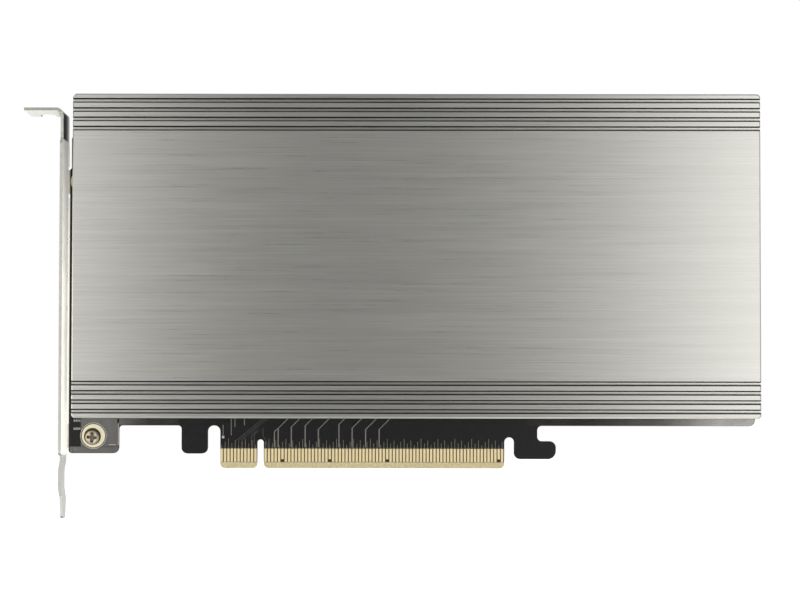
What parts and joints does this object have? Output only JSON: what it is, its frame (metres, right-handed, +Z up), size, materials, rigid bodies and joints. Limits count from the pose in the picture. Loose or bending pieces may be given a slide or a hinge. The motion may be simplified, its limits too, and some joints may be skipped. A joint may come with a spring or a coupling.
{
  "type": "storage module adapter card",
  "caption": "Full-height expansion card under a long brushed metal heat-sink cover, with edge contacts below and a folded slot bracket at one end; holds storage modules.",
  "frame": {"origin": "middle of the key notch on the lower edge of the edge contacts, half way through the board's thickness", "axes": "+Z up, away from the edge contacts; the slot bracket is at -X; the cover looks towards -Y"},
  "size_m": [0.2154, 0.0184, 0.1256],
  "materials": {
    "board_laminate": "black lacquered glass-fibre laminate, satin",
    "gold_plating": "thin gold plating, smooth",
    "brushed_cover": "brushed along its length, clear",
    "plated_steel": "bright nickel plating",
    "screw_steel": "plated, satin",
    "socket_plastic": "moulded, fine grain",
    "tinned_leads": "tinned",
    "standoff_brass": "turned",
    "silicone_pad": "soft, matt",
    "inductor_body": "pressed powder, matt",
    "chip_body": "moulded, matt",
    "capacitor_can": "drawn, satin",
    "capacitor_ceramic": "fired, matt",
    "light_lens": "clear resin"
  },
  "bodies": {
    "root": {"circuit_board": "board_laminate", "edge_contacts_front": "gold_plating", "edge_contacts_back": "gold_plating", "heatsink_cover": "brushed_cover", "slot_bracket": "plated_steel", "bracket_screws": "screw_steel", "cover_screws": "screw_steel", "plated_rings": "gold_plating", "m2_socket_1": "socket_plastic", "m2_contacts_1": "tinned_leads", "m2_standoff_1": "standoff_brass", "thermal_pad_1": "silicone_pad", "m2_socket_2": "socket_plastic", "m2_contacts_2": "tinned_leads", "m2_standoff_2": "standoff_brass", "thermal_pad_2": "silicone_pad", "m2_socket_3": "socket_plastic", "m2_contacts_3": "tinned_leads", "m2_standoff_3": "standoff_brass", "thermal_pad_3": "silicone_pad", "m2_socket_4": "socket_plastic", "m2_contacts_4": "tinned_leads", "m2_standoff_4": "standoff_brass", "thermal_pad_4": "silicone_pad", "power_inductors": "inductor_body", "regulator_chips": "chip_body", "bulk_capacitors": "capacitor_can", "ceramic_capacitors": "capacitor_ceramic", "clock_chip": "chip_body", "status_leds": "light_lens"}
  },
  "joints": []
}
